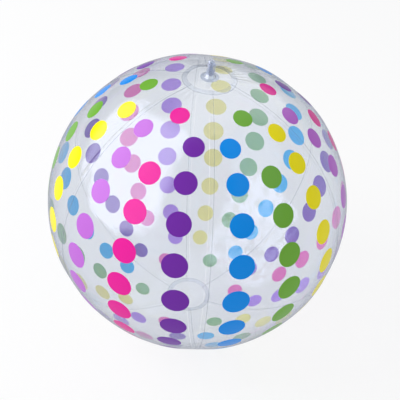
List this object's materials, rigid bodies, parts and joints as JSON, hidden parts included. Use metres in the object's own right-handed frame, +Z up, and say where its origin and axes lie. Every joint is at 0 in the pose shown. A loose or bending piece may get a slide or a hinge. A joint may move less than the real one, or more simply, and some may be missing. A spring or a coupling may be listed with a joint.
{
  "type": "inflatable beach ball",
  "caption": "Clear inflatable beach ball of welded film gores with printed dots, round end discs, and a soft push-in valve with a plug on a strap.",
  "frame": {"origin": "the lowest point of the ball, where it touches the ground", "axes": "+Z up along the valve's axis from the bottom end disc to the top one; -Y through the middle of gore_1; gores numbered anticlockwise seen from above"},
  "size_m": [0.3886, 0.388, 0.4039],
  "materials": {
    "clear_film": "gloss, clear, faint blue tint",
    "valve_pvc": "gloss, translucent soft moulding",
    "flap_film": "gloss, clear thin flap",
    "ink_blue": "gloss print",
    "ink_green": "gloss print",
    "ink_yellow": "gloss print",
    "ink_lilac": "gloss print",
    "ink_pink": "gloss print",
    "ink_purple": "gloss print"
  },
  "bodies": {
    "ball": {"gore_1": "clear_film", "gore_2": "clear_film", "gore_3": "clear_film", "gore_4": "clear_film", "gore_5": "clear_film", "gore_6": "clear_film", "top_disc": "clear_film", "bottom_disc": "clear_film", "valve_flange": "valve_pvc", "valve_skirt": "valve_pvc"},
    "stem": {"valve_stem": "valve_pvc", "strap_ring": "valve_pvc", "plug_strap": "valve_pvc", "flap_seat": "valve_pvc"},
    "plug": {"plug": "valve_pvc"},
    "flap": {"check_flap": "flap_film"}
  },
  "joints": [
    {"name": "valve_push", "type": "slide", "parent": "ball", "child": "stem", "axis": [0, 0, -1], "range_m": [0, 0.017], "deforming": ["valve_skirt"]},
    {"name": "plug_pull", "type": "slide", "parent": "stem", "child": "plug", "axis": [0, 0, 1], "range_m": [0, 0.01], "deforming": ["plug_strap"]},
    {"name": "flap_open", "type": "hinge", "parent": "stem", "child": "flap", "pos_m": [0, 0.003, 0.3845], "axis": [1, 0, 0], "range_deg": [0, 60], "stiffness_Nm_per_rad": 0.00001, "springref_deg": -17.19}
  ]
}
